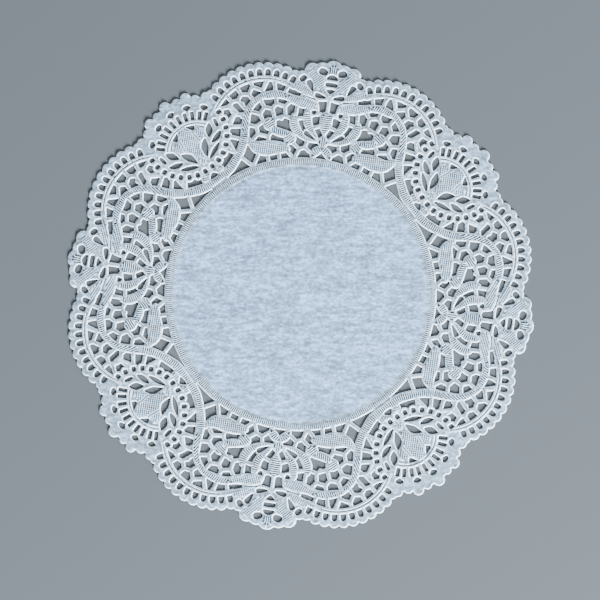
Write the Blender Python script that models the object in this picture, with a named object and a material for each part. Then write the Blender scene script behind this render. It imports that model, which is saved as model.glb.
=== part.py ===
"""Round paper lace doily, one embossed and die-cut sheet lying flat.

Metres, +Z up. The origin is the middle of the underside, and +Y runs through the middle of a
flower. The lace repeats every 90 degrees and each repeat is symmetric, so the chart below holds
half a repeat, from the flower axis (x = 0) to the fan axis (x = y), in millimetres.
"""
import math

import bmesh
import bpy
import numpy as np

MM = 0.001
NAME = "paper_doily"

# Driving sizes, mm
THICKNESS = 1.0
BAR = 2.1
RING_RADIUS = 73.4
BODY_RADIUS = 119.0
REPEATS = 4
LARGEST_KEPT = 36
RAY_STEP = 0.1
RAYS = 48
REACH = 14.0
LARGEST_DISC = 5.0
EDGE_SAMPLES = 361
OUTLINE_TOLERANCE = 0.35
OPENING_TOLERANCE = 0.3

# The picot border is an arc band with a row of small holes and scallops outside it.
PICOT_CENTRE = (32.2, 82.85)
PICOT_BAND_RADIUS = 29.6
PICOT_BAND_WIDTH = 3.2
PICOT_BAND_ANGLES = range(114, 8, -6)
PICOT_FILL_RADIUS = 36.1
PICOT_SCALLOP_RADIUS = 35.3
PICOT_SCALLOP_SIZE = 3.0
PICOT_FIRST = 109.6
PICOT_PITCH = 8.32
PICOT_COUNT = 11

# The bead chain is a row of round beads on a circle round the fan.
BEAD_CENTRE = (72.9, 75.0)
BEAD_CIRCLE = 20.9
BEAD_SIZE = 2.8
BEAD_FIRST = 222.5
BEAD_PITCH = 12.8
BEAD_COUNT = 8

# The fan opens outwards from the tulip.
FAN_CENTRE = (66.5, 66.5)
FAN_FILL_RADIUS = 30.3
FAN_SLOT_RADIUS = 20.3
FAN_SLOT_LENGTH = 4.8
FAN_SLOT_WIDTH = 2.1
FAN_SLOT_SQUARENESS = 9
FAN_SLOT_ANGLES = (93.4, 83.8, 72.5, 61.9, 50.8)

# Leaves, petals and bands: a row for each station along the middle line, as x, y, width.
RIBBONS = {
    "stem": ((0, 98, 2), (0, 107, 2)),
    "flower foot": ((0, 106.2, 2.4), (3, 105.6, 2.4), (6.8, 104.7, 2.2), (6.6, 103, 2), (5.9, 101, 2.1),
                    (5.4, 98, 2)),
    "bar by the shell": ((4.2, 97, 1.6), (6.9, 96.4, 1.8), (8.6, 95.3, 1.6)),
    "bar by the picots": ((34.9, 111.5, 2.3), (36.4, 106, 2.2)),
    "bar by the slot": ((48.8, 90.9, 2.7), (53.2, 94.1, 2.9)),
    "bar by the foot": ((47.4, 70.5, 2.6), (50.6, 74.6, 2.6)),
    "bar by the beads": ((50, 89.6, 2.1), (51.2, 85, 2.1), (52, 83, 2.1)),
    "shell oval": ((0, 86.5, 1.6), (0, 89.2, 4.4), (0, 92, 6.9), (0, 95.5, 7.3)),
    "shell inner petal": ((3, 83.6, 1.5), (4.4, 85.1, 2), (7.2, 88, 3.6), (9.4, 91.2, 4.7), (10.2, 94, 4.9),
                          (10.6, 97.3, 3.8)),
    "shell outer petal": ((3, 82.2, 1.5), (6.2, 82.4, 2.1), (9.4, 83.2, 2.9), (13.2, 85.3, 4.1),
                          (16.2, 88.6, 5.2), (17.4, 91.6, 5), (17.7, 94.3, 3.2)),
    "shell base": ((0, 82.2, 5.6), (0, 83.2, 5.2)),
    "shell foot": ((0, 79.2, 3.4), (2.9, 77.1, 4.8), (4.6, 74.6, 3.2)),
    "lower leaf": ((6.6, 101.9, 3), (9, 102, 5.6), (14, 102.2, 6.2), (19, 103, 5), (24, 104.6, 4)),
    "upper leaf": ((7.5, 107.2, 2.4), (11, 108, 5), (15, 109.6, 5.4), (19, 110.6, 4.4), (23, 111.1, 3.4)),
    "blob by the shell": ((18.1, 82.1, 7), (18.2, 82.2, 7)),
    "blob in the net": ((30, 88, 7.2), (30.1, 88, 7.2)),
    "knot by the beads": ((53.1, 60.2, 4.2), (55.5, 58, 4.4)),
    "curved leaf": ((20.5, 84, 4.2), (24, 84.3, 4.7), (27.5, 85.3, 4.4), (29, 86.5, 4)),
    "broad leaf": ((18.3, 76.2, 3), (21, 76.3, 5.6), (25, 75.9, 7.2), (30, 74.7, 8.4),
                   (34.5, 74.4, 6.9), (38, 75.9, 4.4), (39.9, 77.5, 3.2)),
    "scroll": ((22, 104.2, 4), (24.5, 104.5, 4.2), (28.7, 104.5, 4.5), (32.7, 103.4, 4.4), (36.5, 102, 3.6),
               (39.5, 99.2, 3.6), (41.8, 95.7, 3.8), (43, 91.7, 4.2), (43.1, 87.5, 4.5), (42.9, 82, 4.7),
               (42.6, 78, 4.9), (43.8, 70.3, 4.7), (47.5, 61.3, 5.2), (51, 57, 5), (54, 54, 5)),
}

# Places where the paper between the openings of the net is wider: x, y, radius.
LANDS = (
    (24.2, 91.8, 1.1), (46.7, 96.3, 1.4), (45.5, 89.7, 1.2), (45.6, 84.4, 1.1), (10.2, 87.3, 1),
    (31, 110.6, 1.3), (14.7, 105.9, 1.2), (18.7, 79, 1),
)

# Openings of the net, between the solid shapes: x, y, size.
NET = (
    (0, 74.4, 1.7), (2.8, 101.6, 2.7), (14.3, 97, 1.6), (5.3, 93.6, 2.2), (3, 87.4, 1.6),
    (12.7, 90.3, 2), (12.4, 80.9, 2.3), (5.8, 79.8, 1.9), (9.6, 74.3, 2.3), (15.8, 76.4, 1.6),
    (19.6, 72.1, 1.6), (25.4, 70.5, 1.7), (31.2, 68.3, 1.8), (38.1, 70, 3), (41.9, 62.9, 3),
    (19.8, 97.2, 2.3), (25.1, 101.3, 1.3), (26.1, 95.9, 2.4), (32.1, 99.7, 2.2), (32.3, 93.3, 2.3),
    (37.7, 95.7, 1.4), (38.5, 89.3, 2.4), (22.6, 88.8, 3.2), (25.1, 80.8, 2.3), (33.3, 84.4, 2.3),
    (33.8, 78.9, 1.8), (38.9, 82.3, 1.8), (20.6, 107.1, 1.5), (27.2, 108.8, 1.9), (33, 107.3, 1.5),
    (39.4, 108.6, 1.7), (40.4, 103.4, 1.7), (46.3, 105.1, 2.2), (51.8, 100.6, 2), (45.2, 98.4, 2.3),
    (55.8, 95.8, 1), (48.9, 93.9, 2.5), (53.7, 90.5, 1.4), (47.6, 87, 2.1), (46.7, 81, 2),
    (47.2, 74.4, 2.2), (49.5, 66, 2.6),
)

# Openings cut in plain ground: x, y, length, width, turn, taper, bend, squareness.
CUTS = (
    (0, 117, 6.2, 2.9, 0, 0, 0.9, 2.2),
    (0, 113.7, 6.6, 2.5, 0, 0, 0.2, 5),
    (5.3, 120.2, 5.2, 3.9, 14, 0.1, 0.2, 2.4),
    (11.1, 111.9, 6.7, 2.6, 60, 0.6, 0, 3),
    (15.75, 115.3, 4.4, 3.2, -50, 0, 0, 2.4),
    (5.1, 107, 6.4, 2.5, 10, 0.4, 0, 2.6),
    (7.6, 84.9, 7.5, 2.1, 30, 0.65, 0, 3),
    (57.6, 69.3, 10.7, 2.6, -69.5, 0, 0, 1.6),
    (57.9, 77, 8, 3.1, -63, 0, -0.4, 1.7),
    (62.3, 79.8, 8.1, 4, 80, 0, 0, 1.5),
    (62.4, 70.4, 10.2, 3.9, 73, 0.1, -0.7, 1.5),
    (59.3, 84.4, 4.9, 2.1, 56, 0, 0, 2.6),
    (72.8, 79.4, 5, 2, -5, -0.85, 0, 3.5),
)

# Scallops of the outer edge beside the picots, over the flower and over the fan: x, y, radius.
SCALLOPS = (
    (0, 122, 5), (5.8, 120.3, 5), (11.3, 120.1, 4.2), (16.4, 116.6, 2.8),
    (66.9, 97.2, 2.6), (72.2, 94.8, 2.5), (77.6, 94.4, 3), (82, 91.2, 2.4), (87.7, 87.7, 3.2),
)

PAPER = {"colour": (0.56, 0.62, 0.68, 1), "roughness": 0.8, "metallic": 0.0}
MERGE_DISTANCE = 0.00001


def polar(centre, radius, degrees):
    turn = math.radians(degrees)
    return centre[0] + radius * math.cos(turn), centre[1] + radius * math.sin(turn)


def ribbon_discs(stations, step=0.5):
    """Discs (x, y, radius) along a smooth curve through a ribbon's stations."""
    rows = np.array(stations, float)
    ends = np.vstack((2 * rows[0] - rows[1], rows, 2 * rows[-1] - rows[-2]))
    discs = []
    for before, start, end, after in zip(ends, ends[1:], ends[2:], ends[3:]):
        count = max(2, int(math.dist(start[:2], end[:2]) / step))
        t = np.linspace(0, 1, count)[:, None]
        discs.append(0.5 * (2 * start + (end - before) * t
                            + (2 * before - 5 * start + 4 * end - after) * t ** 2
                            + (3 * start - before - 3 * end + after) * t ** 3))
    discs = np.vstack(discs)
    discs[:, 2] /= 2
    return discs


def solid_discs():
    """All that bounds the net, as discs, with its mirror images across both axes."""
    rows = [ribbon_discs(stations) for stations in RIBBONS.values()]
    band = [polar(PICOT_CENTRE, PICOT_BAND_RADIUS, angle) + (PICOT_BAND_WIDTH,)
            for angle in PICOT_BAND_ANGLES]
    rows.append(ribbon_discs(band))
    rows.append(np.array([polar(BEAD_CENTRE, BEAD_CIRCLE, BEAD_FIRST - BEAD_PITCH * i) + (BEAD_SIZE,)
                          for i in range(BEAD_COUNT)]))
    return mirrored(np.vstack(rows + [LANDS]))


def mirrored(rows):
    """The rows with their mirror images across the flower axis and the fan axis."""
    across_flower = rows * (-1, 1, 1)
    across_fan = rows[:, (1, 0, 2)]
    return np.vstack((rows, across_flower, across_fan))


def net_opening(seed, seeds, discs):
    """The edge of one net opening, half a bar from the walls it shares with its neighbours.

    A wall stands midway between two openings, nearer to the smaller one, and an opening also
    ends at the ring and at each solid shape. The edge is found along rays from the seed.
    """
    middle, size = seed[:2], seed[2]
    angles = np.linspace(0, 2 * math.pi, RAYS, endpoint=False)
    reach = np.arange(RAY_STEP, REACH, RAY_STEP)
    points = middle + reach[None, :, None] * np.stack((np.cos(angles), np.sin(angles)), 1)[:, None, :]
    room = np.hypot(points[..., 0], points[..., 1]) - RING_RADIUS
    own = ((points - middle) ** 2).sum(2) - size ** 2
    for other in seeds:
        apart = math.dist(other[:2], middle)
        if 1e-6 < apart < 2 * REACH:
            wall = (((points - other[:2]) ** 2).sum(2) - other[2] ** 2 - own) / (2 * apart)
            room = np.minimum(room, wall - BAR / 2)
    for x, y, radius in discs[np.hypot(*(discs[:, :2] - middle).T) < REACH + LARGEST_DISC]:
        room = np.minimum(room, np.hypot(points[..., 0] - x, points[..., 1] - y) - radius)
    last = np.argmax(room < 0, axis=1)
    return [tuple(points[i, k]) for i, k in enumerate(last)]


def cut_opening(x, y, length, width, turn, taper, bend, squareness):
    """The edge of one plain cut: a round-cornered slot, tapered and bent as its row says."""
    angles = np.linspace(0, 2 * math.pi, RAYS, endpoint=False)
    power = 2 / squareness
    along = np.sign(np.cos(angles)) * np.abs(np.cos(angles)) ** power
    across = np.sign(np.sin(angles)) * np.abs(np.sin(angles)) ** power * (1 + taper * along)
    u = along * length / 2
    v = across * width / 2 + bend * (1 - along ** 2)
    c, s = math.cos(math.radians(turn)), math.sin(math.radians(turn))
    return list(zip(x + u * c - v * s, y + u * s + v * c))


def outer_edge():
    """The scalloped outer edge of half a repeat, from the flower axis to the fan axis."""
    turns = [PICOT_FIRST - PICOT_PITCH * i for i in range(PICOT_COUNT)]
    scallops = [polar(PICOT_CENTRE, PICOT_SCALLOP_RADIUS, turn) + (PICOT_SCALLOP_SIZE,) for turn in turns]
    fills = [(0, 0, BODY_RADIUS), PICOT_CENTRE + (PICOT_FILL_RADIUS,), FAN_CENTRE + (FAN_FILL_RADIUS,)]
    discs = mirrored(np.array(scallops + fills + list(SCALLOPS)))
    edge = []
    for angle in np.radians(np.linspace(90, 45, EDGE_SAMPLES)):
        direction = np.array((math.cos(angle), math.sin(angle)))
        along = discs[:, :2] @ direction
        aside = (discs[:, :2] ** 2).sum(1) - along ** 2
        hit = aside < discs[:, 2] ** 2
        radius = (along[hit] + np.sqrt(discs[hit, 2] ** 2 - aside[hit])).max()
        edge.append(tuple(radius * direction))
    return edge


def simplified(points, tolerance):
    """The points of an open line that lie more than the tolerance off the line without them."""
    start, end = np.array(points[0]), np.array(points[-1])
    chord = (end - start) / max(math.dist(start, end), 1e-9)
    offsets = [abs(chord[0] * (p[1] - start[1]) - chord[1] * (p[0] - start[0])) for p in points]
    far = int(np.argmax(offsets))
    if offsets[far] <= tolerance:
        return [points[0], points[-1]]
    return simplified(points[:far + 1], tolerance)[:-1] + simplified(points[far:], tolerance)


def simplified_loop(points, tolerance):
    """A closed line with few points, split at the two that lie farthest apart."""
    gaps = [[math.dist(p, q) for q in points] for p in points]
    first, second = np.unravel_index(int(np.argmax(gaps)), (len(points), len(points)))
    first, second = min(first, second), max(first, second)
    there = points[first:second + 1]
    back = points[second:] + points[:first + 1]
    return simplified(there, tolerance)[:-1] + simplified(back, tolerance)[:-1]


def area(points):
    x, y = np.array(points).T
    return abs(x @ np.roll(y, -1) - y @ np.roll(x, -1)) / 2


def all_openings():
    """The largest openings of half a repeat as loops, with the middle of each."""
    seeds = mirrored(np.array(NET))
    discs = solid_discs()
    openings = [(seed[:2], net_opening(np.array(seed), seeds, discs)) for seed in NET]
    openings += [(cut[:2], cut_opening(*cut)) for cut in CUTS]
    for angle in FAN_SLOT_ANGLES:
        x, y = polar(FAN_CENTRE, FAN_SLOT_RADIUS, angle)
        slot = (x, y, FAN_SLOT_LENGTH, FAN_SLOT_WIDTH, angle, 0, 0, FAN_SLOT_SQUARENESS)
        openings.append(((x, y), cut_opening(*slot)))
    openings.sort(key=lambda opening: -area(opening[1]))
    on_axis = [opening for opening in openings if opening[0][0] == 0]
    beside = [opening for opening in openings if opening[0][0] > 0]
    return on_axis + beside[:LARGEST_KEPT]


def turned(points, quarter, flip):
    """The points mirrored across the flower axis if asked, then turned by quarter turns."""
    turn = quarter * 2 * math.pi / REPEATS
    c, s = round(math.cos(turn)), round(math.sin(turn))
    side = -1 if flip else 1
    moved = [(c * side * x - s * y, s * side * x + c * y) for x, y in points]
    return moved[::-1] if flip else moved


def whole_edge():
    """The closed outer edge: eight half repeats joined end to end."""
    half = simplified(outer_edge(), OUTLINE_TOLERANCE)
    loop = []
    for quarter in range(REPEATS):
        loop += turned(half, -quarter, False)[:-1]
        loop += turned(half, -quarter - 1, True)[:-1]
    return loop


def whole_lace():
    """Loops of all openings of the doily."""
    loops = []
    for middle, edge in all_openings():
        few = simplified_loop(edge, OPENING_TOLERANCE)
        for quarter in range(REPEATS):
            loops.append(turned(few, quarter, False))
            if middle[0] > 0:
                loops.append(turned(few, quarter, True))
    return loops


def sheet_curve(loops):
    """A flat 2D curve, filled between its outer edge and its openings."""
    curve = bpy.data.curves.new(NAME, "CURVE")
    curve.dimensions = "2D"
    curve.fill_mode = "BOTH"
    curve.extrude = THICKNESS * MM / 2
    for loop in loops:
        spline = curve.splines.new("POLY")
        spline.points.add(len(loop) - 1)
        for point, (x, y) in zip(spline.points, loop):
            point.co = (x * MM, y * MM, 0, 1)
        spline.use_cyclic_u = True
    sheet = bpy.data.objects.new(NAME + "_outline", curve)
    sheet.location.z = THICKNESS * MM / 2
    return sheet


def sheet_mesh(outline, collection):
    """The curve made one closed mesh object, its faces on top and underside joined to its edges."""
    collection.objects.link(outline)
    bpy.context.view_layer.update()
    evaluated = outline.evaluated_get(bpy.context.evaluated_depsgraph_get())
    mesh = bpy.data.meshes.new_from_object(evaluated)
    mesh.name = NAME
    form = bmesh.new()
    form.from_mesh(mesh)
    bmesh.ops.remove_doubles(form, verts=form.verts, dist=MERGE_DISTANCE)
    bmesh.ops.recalc_face_normals(form, faces=form.faces)
    form.to_mesh(mesh)
    form.free()
    sheet = bpy.data.objects.new(NAME, mesh)
    sheet.matrix_world = outline.matrix_world
    collection.objects.link(sheet)
    bpy.data.objects.remove(outline)
    return sheet


def paper():
    """White lace paper, cool in tone."""
    material = bpy.data.materials.new("white lace paper")
    material.use_nodes = True
    shader = material.node_tree.nodes["Principled BSDF"]
    shader.inputs["Base Color"].default_value = PAPER["colour"]
    shader.inputs["Roughness"].default_value = PAPER["roughness"]
    shader.inputs["Metallic"].default_value = PAPER["metallic"]
    return material


for old in list(bpy.data.objects):
    bpy.data.objects.remove(old)

doily = bpy.data.collections.new("paper doily")
bpy.context.scene.collection.children.link(doily)
sheet = sheet_mesh(sheet_curve([whole_edge()] + whole_lace()), doily)
sheet.data.materials.append(paper())
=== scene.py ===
import math

import bmesh
import bpy
import numpy as np
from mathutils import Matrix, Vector
from mathutils.geometry import delaunay_2d_cdt
from mathutils.kdtree import KDTree


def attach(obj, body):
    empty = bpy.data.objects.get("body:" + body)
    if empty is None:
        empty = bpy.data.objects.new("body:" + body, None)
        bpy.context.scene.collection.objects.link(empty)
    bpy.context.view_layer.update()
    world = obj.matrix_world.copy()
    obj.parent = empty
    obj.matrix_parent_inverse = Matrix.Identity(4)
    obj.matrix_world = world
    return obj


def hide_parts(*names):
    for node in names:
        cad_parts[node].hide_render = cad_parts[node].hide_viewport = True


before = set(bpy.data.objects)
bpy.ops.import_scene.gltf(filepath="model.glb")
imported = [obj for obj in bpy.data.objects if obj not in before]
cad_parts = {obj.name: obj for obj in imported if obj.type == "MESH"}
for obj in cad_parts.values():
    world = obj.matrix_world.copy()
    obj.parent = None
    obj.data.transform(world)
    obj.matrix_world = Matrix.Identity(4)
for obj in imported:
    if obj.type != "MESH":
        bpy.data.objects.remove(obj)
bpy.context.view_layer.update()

# The doily is one sheet of thin bleached paper. Two steel dies emboss its lace and punch its openings
# and its scalloped edge in one stroke. Nothing is fixed to it, and it lies loose on the table.
MM = 0.001

# The lace repeats every 90 degrees and each repeat is symmetric, so the charts hold half a repeat, from
# the flower axis x = 0 to the fan axis x = y, in millimetres from the middle of the sheet.

# The real ribs are 0.8 to 0.9 mm apart, too fine to show in the render, so they are drawn this coarse.
RIB_PITCH = 1.12

# The embossed shapes of the lace. Each has a fill, the turn of its ribs in degrees (None: square to its
# middle line), and a row for each station along its middle line: x, y, width.
SHAPES = {
    "stem": ("plain", 0, ((0, 98, 2.0), (0, 107, 2.0))),
    "flower foot": ("plain", 0, ((0, 106.2, 2.4), (3, 105.6, 2.4), (6.8, 104.7, 2.2), (6.6, 103, 2),
                                 (5.9, 101, 2.1), (5.4, 98, 2))),
    "bar by the shell": ("plain", 0, ((4.2, 97, 1.6), (6.9, 96.4, 1.8), (8.6, 95.3, 1.6))),
    "bar by the picots": ("plain", 0, ((34.9, 111.5, 2.3), (36.4, 106, 2.2))),
    "bar by the slot": ("plain", 0, ((48.8, 90.9, 2.7), (53.2, 94.1, 2.9))),
    "bar by the foot": ("plain", 0, ((47.4, 70.5, 2.6), (50.6, 74.6, 2.6))),
    "shell oval": ("ribs", 0, ((0, 86.5, 1.6), (0, 89.2, 4.4), (0, 92, 6.9), (0, 95.5, 7.3))),
    "shell inner petal": ("ribs", None, ((3, 83.6, 1.5), (4.4, 85.1, 2), (7.2, 88, 3.6), (9.4, 91.2, 4.7),
                                         (10.2, 94, 4.9), (10.6, 97.3, 3.8))),
    "shell outer petal": ("ribs", None, ((3, 82.2, 1.5), (6.2, 82.4, 2.1), (9.4, 83.2, 2.9),
                                         (13.2, 85.3, 4.1), (16.2, 88.6, 5.2), (17.4, 91.6, 5),
                                         (17.7, 94.3, 3.2))),
    "shell base": ("ribs", 90, ((0, 82.2, 5.6), (0, 83.2, 5.2))),
    "shell foot": ("ribs", None, ((0, 79.2, 3.4), (2.9, 77.1, 4.8), (4.6, 74.6, 3.2))),
    "lower leaf": ("hatch", 23, ((6.6, 101.9, 3), (9, 102, 5.6), (14, 102.2, 6.2), (19, 103, 5),
                                 (24, 104.6, 4))),
    "upper leaf": ("hatch", 23, ((7.5, 107.2, 2.4), (11, 108, 5), (15, 109.6, 5.4), (19, 110.6, 4.4),
                                 (23, 111.1, 3.4))),
    "flower petal": ("hatch", 45, ((3.6, 110.4, 2), (5.6, 112.6, 6), (7.8, 115.8, 8.6), (9.6, 118.2, 8.8))),
    "flower tip": ("ribs", 90, ((0, 121.2, 6.4), (0, 122, 6.2))),
    "blob by the shell": ("ribs", -45, ((18.1, 82.1, 7.0), (18.2, 82.2, 7.0))),
    "blob in the net": ("ribs", -40, ((30, 88, 7.2), (30.1, 88, 7.2))),
    "bar by the beads": ("plain", 0, ((50, 89.6, 2.1), (51.2, 85, 2.1), (52, 83, 2.1))),
    "knot by the beads": ("hatch", 30, ((53.1, 60.2, 4.2), (55.5, 58, 4.4))),
    "curved leaf": ("ribs", 85, ((20.5, 84, 4.2), (24, 84.3, 4.7), (27.5, 85.3, 4.4), (29, 86.5, 4))),
    "broad leaf": ("hatch", 0, ((18.3, 76.2, 3), (21, 76.3, 5.6), (25, 75.9, 7.2), (30, 74.7, 8.4),
                                (34.5, 74.4, 6.9), (38, 75.9, 4.4), (39.9, 77.5, 3.2))),
    "scroll": ("ribs", 59, ((22, 104.2, 4), (24.5, 104.5, 4.2), (28.7, 104.5, 4.5), (32.7, 103.4, 4.4),
                            (36.5, 102, 3.6), (39.5, 99.2, 3.6), (41.8, 95.7, 3.8), (43, 91.7, 4.2),
                            (43.1, 87.5, 4.5), (42.9, 82, 4.7))),
    "scroll foot": ("ribs", None, ((42.9, 82, 4.7), (42.6, 78, 4.9), (43.8, 70.3, 4.7), (47.5, 61.3, 5.2),
                                   (51, 57, 5), (54, 54, 5))),
    "tulip": ("hatch", 0, ((66, 66, 4), (68.5, 68.5, 12), (71, 71, 16), (73, 73, 14))),
    "tulip sepal": ("hatch", 0, ((64, 67, 2), (65.3, 70.5, 3.6), (66.7, 74.5, 5.4), (67.2, 78, 5.2))),
    "tulip knot": ("hatch", 0, ((62.3, 62.9, 4.4), (62.9, 62.3, 4.4))),
}

# The picot border is an arc band with a row of small arched holes and scallops outside it. Radii and
# sizes are in millimetres, and angles in degrees, all round the centre of the arc.
PICOT_CENTRE = (32.2, 82.85)
PICOT_BAND_RADIUS = 29.6
PICOT_BAND_WIDTH = 3.2
PICOT_BAND_ENDS = (114, 12)
PICOT_SEAM_ENDS = (98, 14)
PICOT_FILL_RADIUS = 36.1
PICOT_HOLE_RADIUS = 32.95
PICOT_SCALLOP_RADIUS = 35.3
PICOT_SCALLOP_SIZE = 3.0
PICOT_FIRST = 109.6
PICOT_PITCH = 8.32
PICOT_COUNT = 11

# The bead chain is a row of round beads, each with a square hole, on a circle round the fan.
BEAD_CENTRE = (72.9, 75.0)
BEAD_CIRCLE = 20.9
BEAD_SIZE = 2.8
BEAD_FIRST = 222.5
BEAD_PITCH = 12.8
BEAD_COUNT = 8

# The fan opens outwards from the tulip, and a border band runs inside its slots.
FAN_CENTRE = (66.5, 66.5)
FAN_FILL_RADIUS = 30.3
FAN_BAND_RADIUS = 16.4
FAN_BAND_WIDTH = 3.0
FAN_BAND_ENDS = (98, 45)


def polar(centre, radius, degrees):
    """The place at a radius and an angle round a centre."""
    turn = math.radians(degrees)
    return centre[0] + radius * math.cos(turn), centre[1] + radius * math.sin(turn)


def middle_line(stations, step=0.4):
    """Rows (x, y, half width) close together on a smooth curve through the stations."""
    rows = np.array(stations, float)
    ends = np.vstack((2 * rows[0] - rows[1], rows, 2 * rows[-1] - rows[-2]))
    parts = []
    for before, start, end, after in zip(ends, ends[1:], ends[2:], ends[3:]):
        count = max(2, int(math.dist(start[:2], end[:2]) / step))
        t = np.linspace(0, 1, count)[:, None]
        parts.append(0.5 * (2 * start + (end - before) * t
                            + (2 * before - 5 * start + 4 * end - after) * t ** 2
                            + (3 * start - before - 3 * end + after) * t ** 3))
    line = np.vstack(parts)
    line[:, 2] /= 2
    return line


ARC_STEP = 6


def arc_stations(centre, radius, width, ends):
    """Stations every few degrees along an arc."""
    first, last = ends
    steps = int(abs(last - first) / ARC_STEP)
    return [polar(centre, radius, angle) + (width,) for angle in np.linspace(first, last, steps + 1)]


picot_band = arc_stations(PICOT_CENTRE, PICOT_BAND_RADIUS, PICOT_BAND_WIDTH, PICOT_BAND_ENDS)
fan_band = arc_stations(FAN_CENTRE, FAN_BAND_RADIUS, FAN_BAND_WIDTH, FAN_BAND_ENDS)
SHAPES["picot band"] = ("plain", 0, picot_band)
SHAPES["fan band"] = ("plain", 0, fan_band)

# A round shape, such as a bead, is a middle line of almost no length.
for i in range(BEAD_COUNT):
    x, y = polar(BEAD_CENTRE, BEAD_CIRCLE, BEAD_FIRST - BEAD_PITCH * i)
    SHAPES[f"bead {i}"] = ("plain", 0, ((x, y, 2 * BEAD_SIZE), (x + 0.1, y, 2 * BEAD_SIZE)))
MIDDLES = {name: middle_line(stations) for name, (fill, turn, stations) in SHAPES.items()}

# Seams that part two shapes where no opening lies between them: x and y of the points they pass.
SEAMS = {
    "tulip petal": ((64.4, 71.6), (67.4, 74.2), (69.9, 76.2), (71.6, 78)),
    "tulip dimple": ((64.6, 80.6), (66, 81), (67.6, 80.8)),
    "leaf": ((6.4, 104.2), (9, 105.2), (13, 106)),
    "fan band": [row[:2] for row in fan_band],
    "picot band": [row[:2] for row in arc_stations(PICOT_CENTRE, PICOT_BAND_RADIUS, 0, PICOT_SEAM_ENDS)],
}
SEAM_LINES = {name: middle_line([row + (0,) for row in rows])[:, :2] for name, rows in SEAMS.items()}

# The openings that the die punches out. Those of the net lie between the embossed shapes, with
# bars of one width between them. The rest are plain cuts of a few forms.
BAR = 2.1
RING_RADIUS = 73.4

# An opening's edge is looked for along rays from its middle, in small steps. The embossed shapes stop it
# as rows of discs, none of them wider than the last value.
RAYS = 120
RAY_STEP = 0.1
REACH = 14.0
WIDEST_DISC = 5

# Openings of the net: x, y, size.
NET = (
    (0, 74.4, 1.7), (2.8, 101.6, 2.7), (14.3, 97, 1.6), (5.3, 93.6, 2.2), (3, 87.4, 1.6),
    (12.7, 90.3, 2), (12.4, 80.9, 2.3), (5.8, 79.8, 1.9), (9.6, 74.3, 2.3), (15.8, 76.4, 1.6),
    (19.6, 72.1, 1.6), (25.4, 70.5, 1.7), (31.2, 68.3, 1.8), (38.1, 70, 3), (41.9, 62.9, 3),
    (19.8, 97.2, 2.3), (25.1, 101.3, 1.3), (26.1, 95.9, 2.4), (32.1, 99.7, 2.2), (32.3, 93.3, 2.3),
    (37.7, 95.7, 1.4), (38.5, 89.3, 2.4), (22.6, 88.8, 3.2), (25.1, 80.8, 2.3), (33.3, 84.4, 2.3),
    (33.8, 78.9, 1.8), (38.9, 82.3, 1.8), (20.6, 107.1, 1.5), (27.2, 108.8, 1.9), (33, 107.3, 1.5),
    (39.4, 108.6, 1.7), (40.4, 103.4, 1.7), (46.3, 105.1, 2.2), (51.8, 100.6, 2), (45.2, 98.4, 2.3),
    (55.8, 95.8, 1), (48.9, 93.9, 2.5), (53.7, 90.5, 1.4), (47.6, 87, 2.1), (46.7, 81, 2),
    (47.2, 74.4, 2.2), (49.5, 66, 2.6),
)

# Places where the paper between the openings of the net is wider: x, y, radius.
LANDS = (
    (24.2, 91.8, 1.1), (46.7, 96.3, 1.4), (45.5, 89.7, 1.2), (45.6, 84.4, 1.1), (10.2, 87.3, 1),
    (31, 110.6, 1.3), (14.7, 105.9, 1.2), (18.7, 79, 1),
)

# Plain cuts: x, y, length, width, turn, taper, bend, squareness, and that of the nose if it differs.
CUTS = [
    (0, 117, 6.2, 2.9, 0, 0, 0.9, 2.2),
    (0, 113.7, 6.6, 2.5, 0, 0, 0.2, 5),
    (0, 110, 2.9, 3.6, 90, 0.85, 0, 2.6),
    (5.3, 120.2, 5.2, 3.9, 14, 0.1, 0.2, 2.4),
    (11.1, 111.9, 6.7, 2.6, 60, 0.6, 0, 3),
    (15.75, 115.3, 4.4, 3.2, -50, 0, 0, 2.4),
    (5.1, 107, 6.4, 2.5, 10, 0.4, 0, 2.6),
    (7.3, 97.7, 2.6, 2.5, 80, 0.5, 0, 2.6),
    (7.6, 84.9, 7.5, 2.1, 30, 0.65, 0, 3),
    (57.6, 69.3, 10.7, 2.6, -69.5, 0, 0, 1.6),
    (57.9, 77, 8, 3.1, -63, 0, -0.4, 1.7),
    (62.3, 79.8, 8.1, 4.1, 80, 0, 0, 1.35),
    (62.4, 70.4, 10.2, 4, 73, 0.1, -0.7, 1.4),
    (59.3, 84.4, 4.9, 2.1, 56, 0, 0, 2.6),
    (72.8, 79.4, 5, 2, -5, -0.85, 0, 3.5),
    (56.1, 56.1, 3.2, 4, 45, -0.7, 0, 2.6),
]

# Forms of the cuts that stand in rows: the same values from length on.
PICOT_HOLE = (3.9, 3.0, 0, -0.05, 0, 10, 2.2)
BEAD_HOLE = (3, 2.5, 0, 0, 0, 3.4)
FAN_SLOT = (4.8, 2.1, 0, 0, 0, 9)
FAN_SLOT_RADIUS = 20.3
FAN_SLOT_ANGLES = (93.4, 83.8, 72.5, 61.9, 50.8)
FAN_TOP = (3.2, 4.3, 0, 0, 0, 1.2, 2.2)
FAN_TOP_RADIUS = 24.8
FAN_TOP_ANGLES = (89, 67, 45)


def cut_row(centre, radius, angle, form):
    """A row for a plain cut whose length points away from a centre."""
    return polar(centre, radius, angle) + form[:2] + (angle + form[2],) + form[3:]


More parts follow.
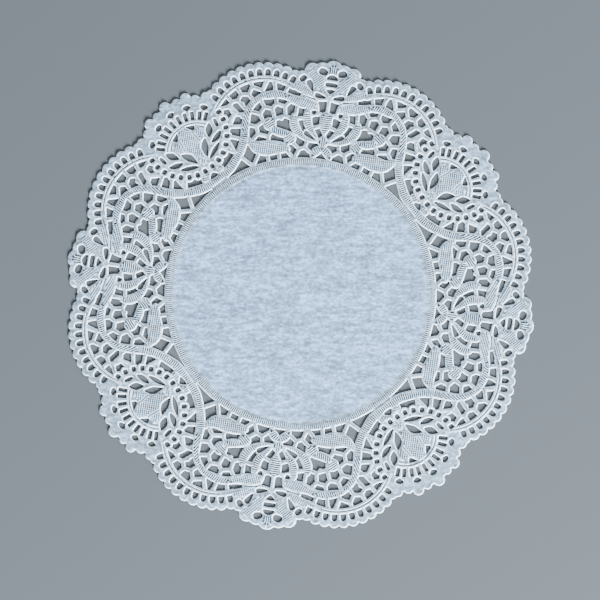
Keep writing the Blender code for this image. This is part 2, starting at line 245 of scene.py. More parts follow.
for i in range(PICOT_COUNT):
    CUTS.append(cut_row(PICOT_CENTRE, PICOT_HOLE_RADIUS, PICOT_FIRST - PICOT_PITCH * i, PICOT_HOLE))
for i in range(BEAD_COUNT):
    CUTS.append(cut_row(BEAD_CENTRE, BEAD_CIRCLE, BEAD_FIRST - BEAD_PITCH * i, BEAD_HOLE))
for angle in FAN_SLOT_ANGLES:
    CUTS.append(cut_row(FAN_CENTRE, FAN_SLOT_RADIUS, angle, FAN_SLOT))
for angle in FAN_TOP_ANGLES:
    CUTS.append(cut_row(FAN_CENTRE, FAN_TOP_RADIUS, angle, FAN_TOP))


def mirrored(rows):
    """The rows with their mirror images across the flower axis and the fan axis."""
    across_flower = rows * (-1, 1, 1)
    across_fan = rows[:, (1, 0, 2)]
    return np.vstack((rows, across_flower, across_fan))


def net_opening(seed, seeds, discs):
    """The edge of one net opening, half a bar from the walls it shares with its neighbours."""
    middle, size = seed[:2], seed[2]
    angles = np.linspace(0, 2 * math.pi, RAYS, endpoint=False) + math.pi / 2
    reach = np.arange(RAY_STEP, REACH, RAY_STEP)
    rays = np.stack((np.cos(angles), np.sin(angles)), 1)
    points = middle + reach[None, :, None] * rays[:, None, :]
    room = np.hypot(points[..., 0], points[..., 1]) - RING_RADIUS
    own = ((points - middle) ** 2).sum(2) - size ** 2
    for other in seeds:
        apart = math.dist(other[:2], middle)
        if 1e-6 < apart < 2 * REACH:
            wall = (((points - other[:2]) ** 2).sum(2) - other[2] ** 2 - own) / (2 * apart)
            room = np.minimum(room, wall - BAR / 2)
    for x, y, radius in discs[np.hypot(*(discs[:, :2] - middle).T) < REACH + WIDEST_DISC]:
        room = np.minimum(room, np.hypot(points[..., 0] - x, points[..., 1] - y) - radius)
    last = np.argmax(room < 0, axis=1)
    row = np.arange(RAYS)
    inside, outside = room[row, last - 1], room[row, last]
    share = inside / (inside - outside)
    return middle + (reach[last - 1] + share * RAY_STEP)[:, None] * rays


def cut_opening(x, y, length, width, turn, taper, bend, squareness, nose=None):
    """The edge of one plain cut: an oval to square slot, tapered and bent as its row says."""
    angles = np.linspace(0, 2 * math.pi, RAYS, endpoint=False)
    power = 2 / np.where(np.cos(angles) > 0, nose or squareness, squareness)
    along = np.sign(np.cos(angles)) * np.abs(np.cos(angles)) ** power
    across = np.sign(np.sin(angles)) * np.abs(np.sin(angles)) ** power * (1 + taper * along)
    u = along * length / 2
    v = across * width / 2 + bend * (1 - along ** 2)
    c, s = math.cos(math.radians(turn)), math.sin(math.radians(turn))
    return np.stack((x + u * c - v * s, y + u * s + v * c), 1)


def resampled(line, spacing, closed=True):
    """Points at equal steps along a line."""
    loop = np.vstack((line, line[:1])) if closed else line
    steps = np.hypot(*np.diff(loop, axis=0).T)
    length = np.concatenate(((0,), np.cumsum(steps)))
    count = max(6, int(round(length[-1] / spacing)))
    at = np.linspace(0, length[-1], count + 1)
    even = np.stack((np.interp(at, length, loop[:, 0]), np.interp(at, length, loop[:, 1])), 1)
    return even[:-1] if closed else even


# A corner is a place where the edge turns by more than this many degrees within a few short steps.
CORNER_STEP = 0.15
CORNER_REACH = 4
CORNER_TURN = 38


def rounded(loop):
    """A loop with its corners rounded a little, as a steel punch rounds them."""
    loop = resampled(loop, CORNER_STEP)
    return (np.roll(loop, 1, 0) + 2 * loop + np.roll(loop, -1, 0)) / 4


def cornered(loop, spacing):
    """Points at about equal steps along a rounded loop, with one on each of its corners."""
    ahead = np.roll(loop, -CORNER_REACH, 0) - loop
    behind = loop - np.roll(loop, CORNER_REACH, 0)
    bend = np.abs(np.degrees(np.arctan2(behind[:, 0] * ahead[:, 1] - behind[:, 1] * ahead[:, 0],
                                        (behind * ahead).sum(1))))
    around = [np.roll(bend, shift) for shift in range(-CORNER_REACH, CORNER_REACH + 1)]
    corners = np.flatnonzero((bend > CORNER_TURN) & (bend >= np.max(around, axis=0)))
    corners = [i for i, before in zip(corners, np.roll(corners, 1)) if (i - before) % len(loop) != 1]
    if len(corners) < 2:
        return resampled(loop, spacing)
    parts = []
    for start, end in zip(corners, corners[1:] + [corners[0] + len(loop)]):
        part = loop[np.arange(start, end + 1) % len(loop)]
        steps = np.hypot(*np.diff(part, axis=0).T)
        length = np.concatenate(((0,), np.cumsum(steps)))
        at = np.linspace(0, length[-1], max(1, int(round(length[-1] / spacing))) + 1)[:-1]
        parts.append(np.stack((np.interp(at, length, part[:, 0]), np.interp(at, length, part[:, 1])), 1))
    return np.vstack(parts)


# Every shape stops the openings of the net, but for those of the tulip and the fan, which lie off it.
OFF_THE_NET = ("tulip", "tulip sepal", "tulip knot", "fan band")
seeds = mirrored(np.array(NET))
stops = [MIDDLES[name] for name in SHAPES if name not in OFF_THE_NET]
discs = mirrored(np.vstack(stops + [LANDS]))
openings = [rounded(net_opening(np.array(seed), seeds, discs)) for seed in NET]
openings += [rounded(cut_opening(*cut)) for cut in CUTS]

# The scalloped outer edge, cut by the same die. It is the outline of a row of overlapping rounds.
BODY_RADIUS = 119.0
EDGE_RAYS = 721
EDGE_STEP = 0.7

# Scallops over the flower and over the fan: x, y, radius.
SCALLOPS = [
    (0, 122, 5), (5.8, 120.3, 5), (11.3, 120.1, 4.2), (16.4, 116.6, 2.8),
    (66.9, 97.2, 2.6), (72.2, 94.8, 2.5), (77.6, 94.4, 3), (82, 91.2, 2.4), (87.7, 87.7, 3.2),
    (0, 0, BODY_RADIUS), PICOT_CENTRE + (PICOT_FILL_RADIUS,), FAN_CENTRE + (FAN_FILL_RADIUS,),
]
for i in range(PICOT_COUNT):
    SCALLOPS.append(polar(PICOT_CENTRE, PICOT_SCALLOP_RADIUS, PICOT_FIRST - PICOT_PITCH * i)
                    + (PICOT_SCALLOP_SIZE,))


def outer_edge():
    """The outer edge of half a repeat, from the flower axis to the fan axis."""
    rounds = mirrored(np.array(SCALLOPS))
    edge = []
    for angle in np.radians(np.linspace(90, 45, EDGE_RAYS)):
        direction = np.array((math.cos(angle), math.sin(angle)))
        along = rounds[:, :2] @ direction
        aside = (rounds[:, :2] ** 2).sum(1) - along ** 2
        hit = aside < rounds[:, 2] ** 2
        edge.append(direction * (along[hit] + np.sqrt(rounds[hit, 2] ** 2 - aside[hit])).max())
    return np.array(edge)


edge_line = resampled(outer_edge(), EDGE_STEP, closed=False)
edge_line[0, 0] = 0
edge_line[-1] = edge_line[-1].mean()

# The relief that the die presses into the paper, in millimetres above the table: a rim round each
# opening and each shape, ribs or hatch inside the shapes, and a ring of ribs round the plain middle.

# Distance in from a cut edge, height of the face, and its painted light and shade: a painted highlight on
# the rim above 0, painted shade beside it below 0.
EDGE_PROFILE = (
    (0.0, 0.05, 0.35), (0.2, 0.34, 0.58), (0.4, 0.54, 0.3), (0.52, 0.54, 0.0), (0.7, 0.46, -0.1),
    (0.95, 0.4, -0.12), (1.4, 0.4, -0.02), (1.8, 0.4, -0.02),
)

# Distance from a seam, and what that adds to both height and painted light and shade: painted shade in the
# seam, a painted highlight on its sides.
SEAM_PROFILE = (
    (0.0, -0.22, -0.75), (0.25, -0.06, -0.2), (0.5, 0.13, 0.5), (0.75, 0.06, 0.15), (1.0, 0.0, 0.0),
)

# Distance in from the outline of a shape, and what that adds to both height and painted light and shade:
# painted shade in the outline's groove, a painted highlight on its rim.
OUTLINE_PROFILE = (
    (-0.6, 0.0, 0.0), (-0.1, -0.14, -0.3), (0.25, 0.0, 0.2), (0.5, 0.12, 0.4), (0.75, 0.04, 0.05),
    (1.05, 0.0, 0.0),
)

# Seams and outlines show only this far in from a cut edge, and in full a fade further in.
INLAND_FROM = 0.35
INLAND_FADE = 0.4

# Ribs and hatch start this deep in a shape and are full a little deeper. Their height is in millimetres.
FILL_FROM = 0.75
FILL_FULL = 1.1
FILL_HEIGHT = 0.26
FILL_OFF_SEAM = 0.3
OFF_ALL_SHAPES = -9.0

# How much painted highlight the ribs' crests get over their grooves, how much painted shade lies on the
# ribbed shapes, darkest in their grooves, and how much of the ribs' depth the hatch and the ring have.
# Faces with more than the last share of ribs are shaded flat.
FILL_CONTRAST = 2.2
GROOVE_PAINTED_SHADE = 1.65
HATCH_DEPTH = 0.6
RING_DEPTH = 0.85
RIBBED_FROM = 0.3

# The scroll's two sets of ribs fade out where they meet, to a small share of their depth.
SCROLL_JOINT = (42.9, 81)
JOINT_FADE = 3.2
JOINT_LEAST = 0.15

# The ribs of the ring are faint from the inner radius on and full from the middle radius on, and stop at
# the outer radius. They fade in and out over these widths.
RING_RIBS = 416
RING_FAINT = 0.4
RING_RIB_INNER = 68.8
RING_RIB_MIDDLE = 70.5
RING_RIB_OUTER = 72.8
INNER_FADE = 0.8
MIDDLE_FADE = 0.4
OUTER_FADE = 0.3


def tree_of(points):
    """A search tree that finds the nearest of the points."""
    nearest = KDTree(len(points))
    for i, (x, y) in enumerate(points):
        nearest.insert((x, y, 0), i)
    nearest.balance()
    return nearest


def distances(points, nearest):
    """How far each point lies from the nearest point in a search tree."""
    return np.array([nearest.find((x, y, 0))[2] for x, y in points])


def shape_depth(points):
    """How deep each point lies in the shape that holds it deepest, that shape's name, the place along
    and across its middle line, and that line's direction in degrees."""
    depth = np.full(len(points), OFF_ALL_SHAPES)
    owner = np.full(len(points), "", dtype=object)
    along = np.zeros(len(points))
    across = np.zeros(len(points))
    heading = np.zeros(len(points))
    for name, line in MIDDLES.items():
        low = line[:, :2].min(0) - line[:, 2].max()
        high = line[:, :2].max(0) + line[:, 2].max()
        near = np.flatnonzero(((points > low) & (points < high)).all(1))
        if not len(near):
            continue
        offset = points[near, None, :] - line[None, :, :2]
        gaps = np.hypot(offset[..., 0], offset[..., 1])
        here = (line[None, :, 2] - gaps).max(1)
        place = np.concatenate(((0,), np.cumsum(np.hypot(*np.diff(line[:, :2], axis=0).T))))
        ahead = np.gradient(line[:, :2], axis=0)
        ahead /= np.maximum(np.hypot(*ahead.T), 1e-9)[:, None]
        closest = gaps.argmin(1)
        row = np.arange(len(near))
        away = offset[row, closest]
        deeper = here > depth[near]
        changed = near[deeper]
        depth[changed] = here[deeper]
        owner[changed] = name
        along[changed] = (place[closest] + (away * ahead[closest]).sum(1))[deeper]
        across[changed] = (away[:, 1] * ahead[closest, 0] - away[:, 0] * ahead[closest, 1])[deeper]
        heading[changed] = np.degrees(np.arctan2(*ahead[closest].T[::-1]))[deeper]
    return depth, owner, along, across, heading


def profile(distance, rows):
    """Height and painted light and shade at a distance, from a profile's rows."""
    at, height, painted_shading = zip(*rows)
    return np.interp(distance, at, height), np.interp(distance, at, painted_shading)


def wave(place):
    """Ribs at the rib pitch, from 0 in the grooves to 1 on the crests."""
    return 0.5 + 0.5 * np.cos(2 * math.pi / RIB_PITCH * place)


def fill_pattern(points, owner, along, across, heading, lean):
    """Ribs or hatch, from 0 in the grooves to 1 on the crests and -1 off the ribbed shapes, and the
    direction of the ribs. A hatch is two sets of ribs, and lean is the share of the first set."""
    pattern = np.full(len(points), -1.0)
    lines = heading + 90
    for name in set(owner) - {""}:
        fill, turn = SHAPES[name][:2]
        mine = owner == name
        if fill == "plain":
            continue
        if turn is None:
            first, second = along[mine], across[mine]
        else:
            c, s = math.cos(math.radians(turn)), math.sin(math.radians(turn))
            first, second = points[mine] @ (-s, c), points[mine] @ (c, s)
            lines[mine] = turn
        pattern[mine] = wave(first)
        if fill == "hatch":
            crossed = lean * wave(first) + (1 - lean) * wave(second)
            pattern[mine] = 1 - HATCH_DEPTH * (1 - crossed)
    return pattern, lines


def relief(points, lean):
    """Height of the paper at each point in millimetres, its painted light and shade, from -1 for painted
    shade to 1 for a painted highlight, whether it is on ribs, and the direction of those ribs in degrees."""
    to_cut = np.minimum(distances(points, opening_tree), distances(points, edge_tree))
    depth, owner, along, across, heading = shape_depth(points)
    radius = np.hypot(points[:, 0], points[:, 1])
    turn = np.arctan2(points[:, 1], points[:, 0])
    height, painted_shading = profile(to_cut, EDGE_PROFILE)
    inland = np.clip((to_cut - INLAND_FROM) / INLAND_FADE, 0, 1)
    more_height, more_painted_shading = profile(depth, OUTLINE_PROFILE)
    height += inland * more_height
    painted_shading += inland * more_painted_shading
    to_seam = distances(points, seam_tree)
    seam_height, seam_painted_shading = profile(to_seam, SEAM_PROFILE)
    height += inland * seam_height
    pattern, lines = fill_pattern(points, owner, along, across, heading, lean)
    share = np.clip((np.minimum(depth, to_cut) - FILL_FROM) / (FILL_FULL - FILL_FROM), 0, 1)
    share[pattern < 0] = 0
    share *= np.clip(np.hypot(*(points - SCROLL_JOINT).T) / JOINT_FADE, JOINT_LEAST, 1)
    ring = RING_FAINT * np.clip((radius - RING_RIB_INNER) / INNER_FADE, 0, 1)
    ring += (1 - RING_FAINT) * np.clip((radius - RING_RIB_MIDDLE) / MIDDLE_FADE, 0, 1)
    ring *= np.clip((RING_RIB_OUTER - radius) / OUTER_FADE, 0, 1)
    ring_wave = wave(RIB_PITCH * RING_RIBS * turn / (2 * math.pi))
    pattern = np.where(ring > 0, 1 - RING_DEPTH * (1 - ring_wave), pattern)
    share = np.maximum(share, ring)
    height += FILL_HEIGHT * share * pattern
    share = share * np.clip(to_seam - FILL_OFF_SEAM, 0, 1)
    # Ribbed shapes get painted shade, darkest in their grooves, and a painted highlight on their crests.
    painted_shading += share * (FILL_CONTRAST * pattern - GROOVE_PAINTED_SHADE) + inland * seam_painted_shading
    return height, np.clip(painted_shading, -1, 1), share > RIBBED_FROM, lines


# The points of the mesh in half a repeat: closest along the cut edges, the rims and the ribs, and
# wide apart in the plain middle.
LOOP_STEP = 0.55
HALF_RIB = RIB_PITCH / 2
RIB_SIDE_STEP = 1.0
PLAIN_STEP = 1.05
MIDDLE_STEP = 3.2
EDGE_FINE_STEP = 0.2
SIEVE_CELL = 0.7


class Sieve:
    """Takes points in order of importance and drops those too near an earlier one."""

    def __init__(self):
        self.cell = SIEVE_CELL
        self.grid = {}
        self.points = []

    def near(self, x, y, gap):
        i, j = int(x // self.cell), int(y // self.cell)
        reach = int(gap // self.cell) + 1
        for a in range(i - reach, i + reach + 1):
            for b in range(j - reach, j + reach + 1):
                for px, py in self.grid.get((a, b), ()):
                    if (px - x) ** 2 + (py - y) ** 2 < gap * gap:
                        return True
        return False

    def add(self, points, gap):
        for x, y in points:
            if gap and self.near(x, y, gap):
                continue
            self.grid.setdefault((int(x // self.cell), int(y // self.cell)), []).append((x, y))
            self.points.append((x, y))


def in_wedge(points, margin=0.2):
    """The points that lie between the two axes, a little off both."""
    inside = (points[:, 0] > margin) & (points[:, 1] - points[:, 0] > margin * math.sqrt(2))
    return points[inside]


def lattice(low, high, step_x, step_y, turn=0.0):
    """Points on a grid turned about the middle of the sheet, over a box."""
    corners = np.array([(x, y) for x in (low[0], high[0]) for y in (low[1], high[1])], float)
    c, s = math.cos(math.radians(turn)), math.sin(math.radians(turn))
    along, across = corners @ (c, s), corners @ (-s, c)
    u = np.arange(math.floor(along.min() / step_x), math.ceil(along.max() / step_x) + 1) * step_x
    v = np.arange(math.floor(across.min() / step_y), math.ceil(across.max() / step_y) + 1) * step_y
    u, v = (grid.ravel() for grid in np.meshgrid(u, v))
    points = np.stack((u * c - v * s, u * s + v * c), 1)
    return points[((points > low) & (points < high)).all(1)]


def fill_points(name):
    """Points on the crests and in the grooves of a shape's ribs or hatch."""
    fill, turn = SHAPES[name][:2]
    line = MIDDLES[name]
    side_step = HALF_RIB if fill == "hatch" else RIB_SIDE_STEP
    if turn is None:
        place = np.concatenate(((0,), np.cumsum(np.hypot(*np.diff(line[:, :2], axis=0).T))))
        rows = []
        for at in np.arange(0, place[-1], HALF_RIB):
            x, y, half = (np.interp(at, place, line[:, k]) for k in range(3))
            ahead = np.array([np.interp(at + 0.5, place, line[:, k]) for k in (0, 1)])
            back = np.array([np.interp(at - 0.5, place, line[:, k]) for k in (0, 1)])
            side = (ahead - back)[::-1] * (-1, 1) / max(math.dist(ahead, back), 1e-6)
            count = int(half / side_step)
            for offset in np.arange(-count, count + 1) * side_step:
                rows.append((x + side[0] * offset, y + side[1] * offset))
        return np.array(rows)
    low = line[:, :2].min(0) - line[:, 2].max()
    high = line[:, :2].max(0) + line[:, 2].max()
    return lattice(low, high, side_step, HALF_RIB, turn)


def winding(points, loop):
    """Which points lie inside a loop."""
    inside = np.zeros(len(points), bool)
    x, y = points[:, 0], points[:, 1]
    for (x1, y1), (x2, y2) in zip(loop, np.roll(loop, -1, 0)):
        if y1 != y2:
            crosses = (y1 > y) != (y2 > y)
            inside ^= crosses & (x < (x2 - x1) * (y - y1) / (y2 - y1) + x1)
    return inside


opening_tree = tree_of(np.vstack(openings))
seam_tree = tree_of(np.vstack(list(SEAM_LINES.values())))
edge_tree = tree_of(resampled(outer_edge(), EDGE_FINE_STEP, closed=False))
loops = [cornered(loop, LOOP_STEP) for loop in openings]


def off_openings(points, gap):
    """The points that lie on paper, at least a gap from the edge of any opening."""
    points = points[distances(points, opening_tree) > gap]
    for loop in loops:
        low, high = loop.min(0), loop.max(0)
        near = np.flatnonzero(((points > low) & (points < high)).all(1))
        points = np.delete(points, near[winding(points[near], loop)], axis=0)
    return points


def offset_ring(loop, distance):
    """The loop moved outwards into the paper."""
    ahead, back = np.roll(loop, -1, 0), np.roll(loop, 1, 0)
    tangent = ahead - back
    normal = np.stack((tangent[:, 1], -tangent[:, 0]), 1) / np.hypot(*tangent.T)[:, None]
    x, y = loop.T
    if x @ np.roll(y, -1) - y @ np.roll(x, -1) < 0:
        normal = -normal
    return loop + normal * distance


# The border of half a repeat runs out along the flower axis, round the edge and back along the fan axis.
# Its points lie far apart up to the foot of the ring. From there on they lie half a rib apart in x or y,
# between these counts of half ribs from the middle.
RING_FOOT = 66.0
FLOWER_AXIS_CLOSE = (117, 224)
FAN_AXIS_CLOSE = (82, 160)
flower_axis = [(0.0, y) for y in np.arange(MIDDLE_STEP, RING_FOOT, MIDDLE_STEP)]
flower_axis += [(0.0, y) for y in np.arange(*FLOWER_AXIS_CLOSE) * HALF_RIB]
fan_axis = [(d, d) for d in np.arange(MIDDLE_STEP, RING_FOOT, MIDDLE_STEP) / math.sqrt(2)]
fan_axis += [(d, d) for d in np.arange(*FAN_AXIS_CLOSE) * HALF_RIB]
wedge = [(0.0, 0.0)] + flower_axis + [tuple(p) for p in edge_line] + fan_axis[::-1]

# Points go in by importance. The last number of each call is the least gap to the points before them.
sieve = Sieve()
sieve.add(wedge, 0)
for loop in loops:
    sieve.add(loop, 0)


def add_rows(distance, gap):
    """Points a distance in from every cut edge, where no other edge is much nearer."""
    room = distance * 0.85
    for loop in openings:
        row = in_wedge(offset_ring(resampled(loop, LOOP_STEP), distance))
        sieve.add(off_openings(row, room), gap)
    row = edge_line - edge_line / np.hypot(*edge_line.T)[:, None] * distance
    sieve.add(off_openings(in_wedge(row), room), gap)


# Rows along the cut edges: distance in from the edge, and least gap to the points taken before.
for distance, gap in ((0.2, 0.18), (0.42, 0.22), (0.68, 0.3)):
    add_rows(distance, gap)

# Crests and grooves of the ring's ribs
RING_ROWS = (72.8, 72.1, 71.4, 70.8, 70.2, 69.5, 68.8)
ring_turns = np.linspace(45, 90, RING_RIBS // 4 + 1)
for radius in RING_ROWS:
    ring = np.array([polar((0, 0), radius, turn) for turn in ring_turns])
    sieve.add(in_wedge(ring), 0.3)

# Seams and the rims on both sides of them
SEAM_ROWS = (0, -0.5, 0.5, -0.9, 0.9)
for line in SEAM_LINES.values():
    tangent = np.gradient(line, axis=0)
    normal = np.stack((-tangent[:, 1], tangent[:, 0]), 1) / np.hypot(*tangent.T)[:, None]
    for side in SEAM_ROWS:
        sieve.add(off_openings(in_wedge(line + side * normal), 0.4), 0.3)

# Crests and grooves of the ribs and the hatch, this deep in their shapes
FILL_DEPTH = 0.85
for name in MIDDLES:
    if SHAPES[name][0] != "plain":
        points = off_openings(in_wedge(fill_points(name), 0.15), FILL_DEPTH)
        depth, owner = shape_depth(points)[:2]
        sieve.add(points[(owner == name) & (depth > FILL_DEPTH)], 0.36)

# Rows along the outlines of the shapes, by how deep they lie in the shape
OUTLINE_ROWS = (-0.1, 0.2, 0.5, 0.8)
for line in MIDDLES.values():
    tangent = np.gradient(line[:, :2], axis=0)
    normal = np.stack((-tangent[:, 1], tangent[:, 0]), 1) / np.maximum(np.hypot(*tangent.T), 1e-6)[:, None]
    for depth_at in OUTLINE_ROWS:
        for side in (-1, 1):
            outline = line[:, :2] + side * normal * (line[:, 2:] - depth_at)
            outline = off_openings(in_wedge(outline), 0.35)
            depth = shape_depth(outline)[0]
            sieve.add(outline[np.abs(depth - depth_at) < 0.15], 0.42)
add_rows(0.95, 0.4)

# Paper left plain in the lace, outside this radius
LACE_FROM = 67
PLAIN_GAP = 0.9
plain = in_wedge(lattice((0, 40), (95, 128), PLAIN_STEP, PLAIN_STEP), 0.4)
plain = off_openings(plain[np.hypot(*plain.T) > LACE_FROM], PLAIN_GAP)
plain = plain[distances(plain, edge_tree) > PLAIN_GAP]
plain = plain[winding(plain, np.array(wedge))]
sieve.add(plain, 0.7)

# The creased strip inside the ring, and the plain middle inside that
CREASE_ROWS = (68.2, 67.6, 66.9, 66.1, 65.2, 64, 62)
for radius in CREASE_ROWS:
    ring = np.array([polar((0, 0), radius, turn) for turn in ring_turns[::4]])
    sieve.add(in_wedge(ring), 0.5)
middle = in_wedge(lattice((0, 0), (95, 70), MIDDLE_STEP, MIDDLE_STEP), 0.8)
middle = middle[np.hypot(*middle.T) < CREASE_ROWS[-1] - 1]
sieve.add(middle, MIDDLE_STEP / 2)


def triangles(points, loops):
    """Triangles on the paper of half a repeat: inside its border and off the openings."""
    edges = []
    start = 0
    for loop in loops:
        count = len(loop)
        edges += [(start + i, start + (i + 1) % count) for i in range(count)]
        start += count
    result = delaunay_2d_cdt([Vector(p) for p in points], edges, [], 0, 1e-6)
    verts, cells = np.array([tuple(v) for v in result[0]]), np.array(result[2])
    middles = verts[cells].mean(1)
    keep = winding(middles, loops[0])
    for loop in loops[1:]:
        low, high = loop.min(0), loop.max(0)
        near = np.flatnonzero(((middles > low) & (middles < high)).all(1))
        keep[near[winding(middles[near], loop)]] = False
    return verts, cells[keep]


half_points, half_cells = triangles(sieve.points, [np.array(wedge)] + loops)

# The paper has cockled a little where the embossed ring draws it in: here and there a shallow crease
# runs just inside the ring. Middle and half width in degrees round the sheet, radius, depth.
COCKLES = (
    (83, 18, 68.2, 0.1), (122, 24, 68.3, 0.18), (260, 16, 68.8, 0.2), (290, 15, 68.9, 0.08),
    (22, 18, 68.2, 0.12),
)

# A crease is a groove between two folds: distance from its middle, width, share of the depth.
CREASE = ((-1.3, 0.9, 0.7), (0, 0.65, -0.8), (1.3, 0.7, 1.0))


def cockle(x, y):
    """Height in millimetres that the cockling adds."""
    radius, turn = math.hypot(x, y), math.degrees(math.atan2(y, x))
    total = 0.0
    for angle, spread, at, depth in COCKLES:
        off = (turn - angle + 180) % 360 - 180
        for step, width, share in CREASE:
            total += depth * share * math.exp(-(off / spread) ** 2 - ((radius - at - step) / width) ** 2)
    return total


# Paper creeps as it dries and is handled, so the sheet lies a little off round: stretched, sheared and
# bent. A point 100 millimetres out along x or along y lies this many millimetres out of its place.
CREEP_X = (-0.27, -0.17)
CREEP_Y = (-0.05, 0.23)
CREEP_BEND = 0.52


def crept(x, y):
    """Where a point of the round pattern really lies, in millimetres."""
    u, v = x / 100, y / 100
    return (x + CREEP_X[0] * u + CREEP_X[1] * v - 2 * CREEP_BEND * u * v,
            y + CREEP_Y[0] * u + CREEP_Y[1] * v + CREEP_BEND * (u * u - v * v))


# The hatch is deeper where its lines lie within 45 degrees of this direction, in degrees, all round the
# lace: the set that lies roughly across the light and so shows. Its extra relief is real, and its stronger
# groove tone is painted shade. The deeper set of lines has this share of the depth.
HATCH_ACROSS_LIGHT = 70
HATCH_LEAN = 0.7

# The eight copies of half a repeat join where their points are closer than this, in metres.
WELD = 2e-6
first_deep = relief(half_points, HATCH_LEAN)
second_deep = relief(half_points, 1 - HATCH_LEAN)
ribbed, lines = first_deep[2:]
form = bmesh.new()

# This layer holds the paper's painted light and shade: a painted highlight on the relief's crests and rims
# above 0, and painted shade in its grooves below 0.
painted_shading_layer = form.verts.layers.float.new("painted_shading")
for quarter in range(4):
    c, s = round(math.cos(quarter * math.pi / 2)), round(math.sin(quarter * math.pi / 2))
    for side in (1, -1):
        verts = []
        off_across_light = (side * lines + 90 * quarter - HATCH_ACROSS_LIGHT + 90) % 180 - 90
        heights, painted_shading = (np.where(np.abs(off_across_light) < 45, first_deep[k], second_deep[k]) for k in (0, 1))
        for (x, y), z, amount in zip(half_points, heights, painted_shading):
            world_x, world_y = c * side * x - s * y, s * side * x + c * y
            lies_x, lies_y = crept(world_x, world_y)
            vert = form.verts.new((MM * lies_x, MM * lies_y, MM * (z + cockle(world_x, world_y))))
            vert[painted_shading_layer] = amount
            verts.append(vert)
        for cell in half_cells:
            corners = [verts[i] for i in cell]
            face = form.faces.new(corners if side > 0 else corners[::-1])
            face.smooth = not ribbed[list(cell)].all()
bmesh.ops.delete(form, geom=[v for v in form.verts if not v.link_faces], context="VERTS")
bmesh.ops.remove_doubles(form, verts=form.verts, dist=WELD)
mesh = bpy.data.meshes.new("lace_paper_sheet")
form.to_mesh(mesh)
form.free()
doily = bpy.data.objects.new("lace_paper_sheet", mesh)
bpy.context.scene.collection.objects.link(doily)

# Lace paper is bleached wood pulp, rolled thin and embossed by a steel die. To the eye it is a cool,
# matt white, cloudy where the pulp lies thicker. Its crests carry a painted highlight and the die's grooves
# painted shade.


def srgb(code):
    """Linear colour from an sRGB hex code."""
    parts = [int(code[i:i + 2], 16) / 255 for i in (1, 3, 5)]
    return [p / 12.92 if p <= 0.04045 else ((p + 0.055) / 1.055) ** 2.4 for p in parts] + [1]


paper = bpy.data.materials.new("bleached tissue paper, embossed by a steel die")
paper.use_nodes = True
paper_nodes = paper.node_tree
shader = paper_nodes.nodes["Principled BSDF"]


def node(kind, links=(), **settings):
    """A node with its settings, and links from other nodes' outputs to its inputs."""
    made = paper_nodes.nodes.new(kind)
    for name, value in settings.items():
        if name.startswith("in_"):
            made.inputs[int(name[3:])].default_value = value
        else:
            setattr(made, name, value)
    for socket, source in links:
        paper_nodes.links.new(source, made.inputs[socket])
    return made


# Pulp lies in flecks along the run of the paper: length and width in millimetres, and detail. The
# fibres themselves are 0.03 mm wide, too fine to show, so the smallest flecks stand for bundles of them.
FLECKS = ((8, 2.2, 3), (2, 1.35, 2), (26, 12, 1))
GRAIN_TURN = 9
FINE_SHARE = 0.5
CLOUD_SHARE = 0.13
place = node("ShaderNodeTexCoord").outputs["Object"]
noises = []
for length, width, detail in FLECKS:
    grain = node("ShaderNodeMapping", [(0, place)], vector_type="TEXTURE",
                 in_2=(0, 0, math.radians(GRAIN_TURN)), in_3=(length * MM, width * MM, width * MM))
    noise = node("ShaderNodeTexNoise", [(0, grain.outputs[0])], in_2=1.0, in_3=detail, in_4=0.6)
    noises.append(noise.outputs[0])
fine = node("ShaderNodeMix", [(2, noises[0]), (3, noises[1])], in_0=FINE_SHARE).outputs[0]
pulp = node("ShaderNodeMix", [(2, fine), (3, noises[2])], in_0=CLOUD_SHARE).outputs[0]

# Thin, middling and thick pulp
PULP_TONES = ((0.38, "#707479"), (0.5, "#929da8"), (0.62, "#bbd0e3"))
cloudy = node("ShaderNodeValToRGB", [(0, pulp)])
cloudy.color_ramp.elements.new(0.5)
for stop, (amount, colour) in zip(cloudy.color_ramp.elements, PULP_TONES):
    stop.position = amount
    stop.color = srgb(colour)

# The lace is a touch warmer and duller than the plain middle, which the die leaves smooth.
LACE_TINT = "#e4eaef"
MIDDLE_TINT = "#dae8ff"
LACE_STARTS = 69.0 * MM
MIDDLE_ENDS = 67.5 * MM
radius = node("ShaderNodeVectorMath", [(0, place)], operation="LENGTH").outputs["Value"]
middle_share = node("ShaderNodeMapRange", [(0, radius)], in_1=LACE_STARTS, in_2=MIDDLE_ENDS, in_3=0.0,
                    in_4=1.0)
tint = node("ShaderNodeMix", [(0, middle_share.outputs[0])], data_type="RGBA")
tint.inputs[6].default_value = srgb(LACE_TINT)
tint.inputs[7].default_value = srgb(MIDDLE_TINT)
flat = node("ShaderNodeMix", [(6, cloudy.outputs[0]), (7, tint.outputs[2])], data_type="RGBA",
            blend_type="MULTIPLY", in_0=1.0)

# Crests get a painted highlight and grooves painted shade. The real relief shades itself more finely than
# the render can show, so this painted light and shade on crests and grooves is drawn stronger than life.
PAINTED_CREST_HIGHLIGHT = "#ecf4fb"
PAINTED_GROOVE_SHADE = "#15191e"
TONE_GAIN = 1.7
painted_shading_amount = node("ShaderNodeAttribute", attribute_name="painted_shading").outputs["Fac"]
painted_highlight_share = node("ShaderNodeMath", [(0, painted_shading_amount)], operation="MULTIPLY", in_1=TONE_GAIN, use_clamp=True)
crests = node("ShaderNodeMix", [(0, painted_highlight_share.outputs[0]), (6, flat.outputs[2])], data_type="RGBA")
crests.inputs[7].default_value = srgb(PAINTED_CREST_HIGHLIGHT)
painted_shade_share = node("ShaderNodeMath", [(0, painted_shading_amount)], operation="MULTIPLY", in_1=-TONE_GAIN, use_clamp=True)
grooves = node("ShaderNodeMix", [(0, painted_shade_share.outputs[0]), (6, crests.outputs[2])], data_type="RGBA")
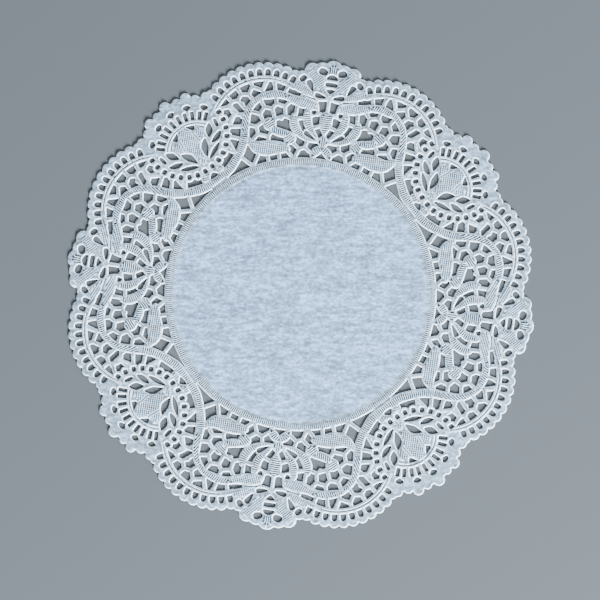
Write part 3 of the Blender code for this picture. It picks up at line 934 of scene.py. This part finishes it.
grooves.inputs[7].default_value = srgb(PAINTED_GROOVE_SHADE)
paper_nodes.links.new(grooves.outputs[2], shader.inputs["Base Color"])

# The pulp's grain stands 0.05 mm proud, and the dry face is matt.
bump = node("ShaderNodeBump", [("Height", pulp)])
bump.inputs["Distance"].default_value = 0.05 * MM
bump.inputs["Strength"].default_value = 0.6
paper_nodes.links.new(bump.outputs[0], shader.inputs["Normal"])
shader.inputs["Roughness"].default_value = 0.7
shader.inputs["Specular IOR Level"].default_value = 0.3
mesh.materials.append(paper)

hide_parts("paper_doily")
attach(doily, "root")

# The corners of the triangles on the paper of half a repeat
corners = half_points[half_cells]

# The floor is a plain studio board of matt painted hardboard, a little below the sheet. It is the palest
# grey against which the openings of the lace still read.
FLOOR_SIZE = 6
FLOOR_DROP = 0.2 * MM
FLOOR_GREY = "#525253"
bpy.ops.mesh.primitive_plane_add(size=FLOOR_SIZE, location=(0, 0, -FLOOR_DROP))
floor = bpy.context.object
floor.name = "floor"
floor_material = bpy.data.materials.new("matt painted hardboard")
floor_material.use_nodes = True
floor_shader = floor_material.node_tree.nodes["Principled BSDF"]
floor_shader.inputs["Base Color"].default_value = srgb(FLOOR_GREY)
floor_shader.inputs["Roughness"].default_value = 1.0
floor_shader.inputs["Specular IOR Level"].default_value = 0.0
floor.data.materials.append(floor_material)

# Light falls low from two round softboxes, a strong one and a weak one, so that the relief shows, and
# from a pale sky all round. Both are as cool as daylight at a window.
DAYLIGHT = "#e1f2ff"


def softbox(name, size, energy, azimuth, elevation, away):
    """A round soft light that shines on the middle of the sheet, sizes in metres and power in watts."""
    data = bpy.data.lights.new(name, "AREA")
    data.shape = "DISK"
    data.size = size
    data.energy = energy
    data.color = srgb(DAYLIGHT)[:3]
    lamp = bpy.data.objects.new(name, data)
    turn, lift = math.radians(azimuth), math.radians(elevation)
    towards = Vector((math.cos(turn) * math.cos(lift), math.sin(turn) * math.cos(lift), math.sin(lift)))
    lamp.location = towards * away
    lamp.rotation_euler = (-lamp.location).to_track_quat("-Z", "Y").to_euler()
    bpy.context.scene.collection.objects.link(lamp)


SKY_STRENGTH = 0.55
softbox("key softbox", size=0.6, energy=590, azimuth=307, elevation=17, away=2.2)
softbox("fill softbox", size=0.9, energy=70, azimuth=60, elevation=20, away=2.2)
world = bpy.data.worlds.new("studio")
world.use_nodes = True
world.node_tree.nodes["Background"].inputs["Color"].default_value = srgb(DAYLIGHT)
world.node_tree.nodes["Background"].inputs["Strength"].default_value = SKY_STRENGTH
bpy.context.scene.world = world

# The camera looks straight down from above the sheet, turned a little, as in the photo. The picture is
# 600 pixels wide, and the middle of the sheet lies a little off the picture's.
PICTURE = 600
PIXEL = 0.5379 * MM
OFF_RIGHT = -0.5
OFF_UP = -6.25
HEIGHT = 1.3
ROLL = math.radians(8.5)
SENSOR = 36
camera_data = bpy.data.cameras.new("camera")
camera_data.sensor_width = SENSOR
camera_data.lens = SENSOR * HEIGHT / (PICTURE * PIXEL)
camera = bpy.data.objects.new("camera", camera_data)
right = Vector((math.cos(ROLL), math.sin(ROLL), 0))
up = Vector((-math.sin(ROLL), math.cos(ROLL), 0))
camera.location = right * (OFF_RIGHT * PIXEL) + up * (OFF_UP * PIXEL) + Vector((0, 0, HEIGHT))
camera.rotation_euler = (0, 0, ROLL)
bpy.context.scene.collection.objects.link(camera)
bpy.context.scene.camera = camera

bpy.context.view_layer.update()
